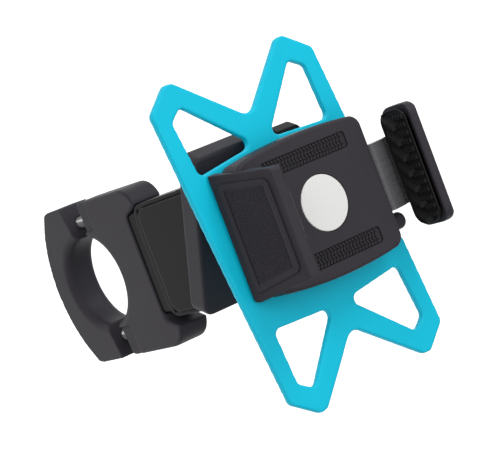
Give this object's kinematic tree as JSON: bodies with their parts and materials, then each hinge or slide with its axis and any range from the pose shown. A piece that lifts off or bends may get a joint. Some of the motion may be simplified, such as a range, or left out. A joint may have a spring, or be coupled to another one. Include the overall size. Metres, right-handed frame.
{
  "type": "handlebar phone mount",
  "caption": "Phone mount for a bicycle handlebar: split bar clamp, tilting and turning cradle with a sprung jaw, and a silicone band with corner loops.",
  "frame": {"origin": "centre of the handlebar bore, in the middle of the clamp's width", "axes": "+X along the bar towards the moving jaw, +Y up the phone's long side, +Z out of the phone plate towards the rider"},
  "size_m": [0.0803, 0.1136, 0.1511],
  "materials": {
    "shell_plastic": "fine textured matte charcoal",
    "arm_plastic": "polished dark grey",
    "soft_grip": "matte black rubber",
    "silicone": "smooth matte cyan silicone",
    "badge": "satin light grey",
    "screw_steel": "zinc-plated steel",
    "stud_metal": "anodised"
  },
  "bodies": {
    "bracket": {"clamp_base": "shell_plastic", "captive_nuts": "screw_steel", "neck_seat": "shell_plastic", "neck_block": "shell_plastic", "neck_panel_left": "shell_plastic", "neck_panel_right": "shell_plastic", "neck_bolt": "screw_steel", "swivel_plate": "shell_plastic", "ball_cup": "arm_plastic", "socket_ring": "shell_plastic", "ring_screws": "screw_steel", "lever_pin": "screw_steel"},
    "cap": {"clamp_cap": "shell_plastic"},
    "upper_screw": {"clamp_screw_upper": "screw_steel"},
    "lower_screw": {"clamp_screw_lower": "screw_steel"},
    "lever": {"lock_lever": "shell_plastic", "lever_pad": "soft_grip"},
    "stud": {"ball_stud": "stud_metal"},
    "cradle": {"friction_washer": "screw_steel", "rear_housing": "shell_plastic", "swivel_retainer": "shell_plastic", "retainer_screws": "screw_steel", "housing_screws": "screw_steel", "front_plate": "shell_plastic", "badge_disc": "badge", "tread_strip_upper": "soft_grip", "tread_strip_lower": "soft_grip", "fixed_jaw": "shell_plastic", "grip_panel": "shell_plastic", "band": "silicone"},
    "jaw": {"slide_arm": "arm_plastic", "moving_jaw": "shell_plastic", "jaw_pad": "soft_grip", "jaw_screws": "screw_steel", "jaw_spring_upper": "screw_steel", "jaw_spring_lower": "screw_steel"},
    "button": {"lock_button": "arm_plastic", "button_spring": "screw_steel"}
  },
  "joints": [
    {"name": "cap_open", "type": "slide", "parent": "bracket", "child": "cap", "axis": [0, 0, -1], "range_m": [0, 0.007]},
    {"name": "upper_screw_turn", "type": "hinge", "parent": "cap", "child": "upper_screw", "pos_m": [0, 0.021, -0.0106], "axis": [0, 0, -1], "range_deg": [0, 3600]},
    {"name": "lower_screw_turn", "type": "hinge", "parent": "cap", "child": "lower_screw", "pos_m": [0, -0.021, -0.0106], "axis": [0, 0, -1], "range_deg": [0, 3600]},
    {"name": "lever_swing", "type": "hinge", "parent": "bracket", "child": "lever", "pos_m": [0, 0.02408, 0.08519], "axis": [0, -0.4384, 0.8988], "range_deg": [0, 75]},
    {"name": "cradle_tilt", "type": "hinge", "parent": "bracket", "child": "stud", "pos_m": [0, 0.00586, 0.08331], "axis": [1, 0, 0], "range_deg": [0, 45]},
    {"name": "cradle_turn", "type": "hinge", "parent": "stud", "child": "cradle", "pos_m": [0, 0.00586, 0.101], "axis": [0, 0, 1], "continuous": true},
    {"name": "jaw_slide", "type": "slide", "parent": "cradle", "child": "jaw", "axis": [1, 0, 0], "range_m": [0, 0.03], "stiffness_N_per_m": 150, "springref_m": -0.04, "deforming": ["jaw_spring_upper", "jaw_spring_lower"]},
    {"name": "button_press", "type": "slide", "parent": "cradle", "child": "button", "axis": [-1, 0, 0], "range_m": [0, 0.0025], "stiffness_N_per_m": 400, "springref_m": -0.001, "deforming": ["button_spring"]}
  ]
}
